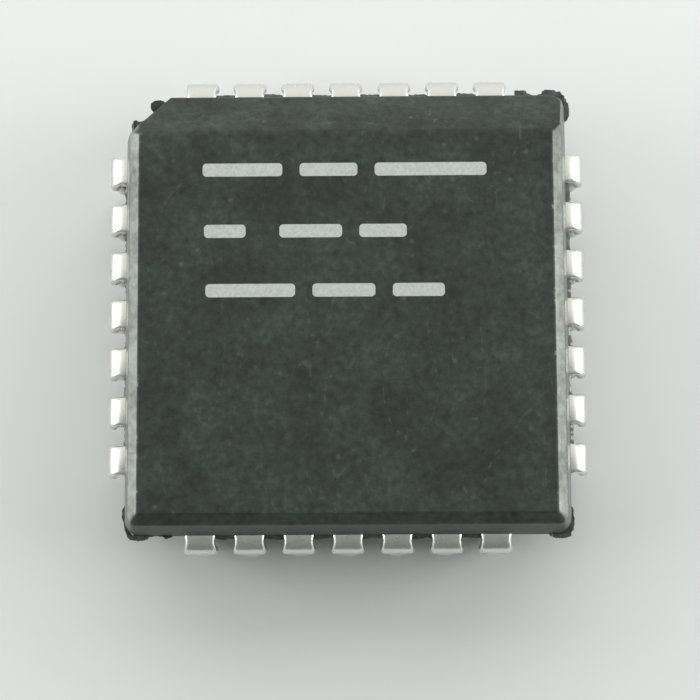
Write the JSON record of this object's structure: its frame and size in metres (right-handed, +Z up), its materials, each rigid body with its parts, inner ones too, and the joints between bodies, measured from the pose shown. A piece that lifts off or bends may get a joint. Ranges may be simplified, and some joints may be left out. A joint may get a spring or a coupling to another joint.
{
  "type": "plastic leaded chip carrier",
  "caption": "Square surface-mount chip carrier with J-shaped leads on all four sides, a bevelled pin-one side and its die, paddle and bond wires held in the resin.",
  "frame": {"origin": "under the middle of the body, on the plane that the leads stand on", "axes": "+Z up out of the top face, +Y towards the bevelled side that holds pin 1, pin-1 corner at -X +Y"},
  "size_m": [0.0124, 0.0124, 0.0044],
  "materials": {
    "resin": "matt dark grey moulding compound, fine spark-eroded texture",
    "tin": "matt tin plate on copper alloy",
    "silicon": "polished silicon",
    "epoxy": "silver-filled die attach epoxy",
    "gold": "drawn gold wire"
  },
  "bodies": {
    "root": {"moulded_body": "resin", "lead_01": "tin", "lead_02": "tin", "lead_03": "tin", "lead_04": "tin", "lead_05": "tin", "lead_06": "tin", "lead_07": "tin", "lead_08": "tin", "lead_09": "tin", "lead_10": "tin", "lead_11": "tin", "lead_12": "tin", "lead_13": "tin", "lead_14": "tin", "lead_15": "tin", "lead_16": "tin", "lead_17": "tin", "lead_18": "tin", "lead_19": "tin", "lead_20": "tin", "lead_21": "tin", "lead_22": "tin", "lead_23": "tin", "lead_24": "tin", "lead_25": "tin", "lead_26": "tin", "lead_27": "tin", "lead_28": "tin", "die_paddle": "tin", "die_attach": "epoxy", "silicon_die": "silicon", "bond_wire_01": "gold", "bond_wire_02": "gold", "bond_wire_03": "gold", "bond_wire_04": "gold", "bond_wire_05": "gold", "bond_wire_06": "gold", "bond_wire_07": "gold", "bond_wire_08": "gold", "bond_wire_09": "gold", "bond_wire_10": "gold", "bond_wire_11": "gold", "bond_wire_12": "gold", "bond_wire_13": "gold", "bond_wire_14": "gold", "bond_wire_15": "gold", "bond_wire_16": "gold", "bond_wire_17": "gold", "bond_wire_18": "gold", "bond_wire_19": "gold", "bond_wire_20": "gold", "bond_wire_21": "gold", "bond_wire_22": "gold", "bond_wire_23": "gold", "bond_wire_24": "gold", "bond_wire_25": "gold", "bond_wire_26": "gold", "bond_wire_27": "gold", "bond_wire_28": "gold"}
  },
  "joints": []
}
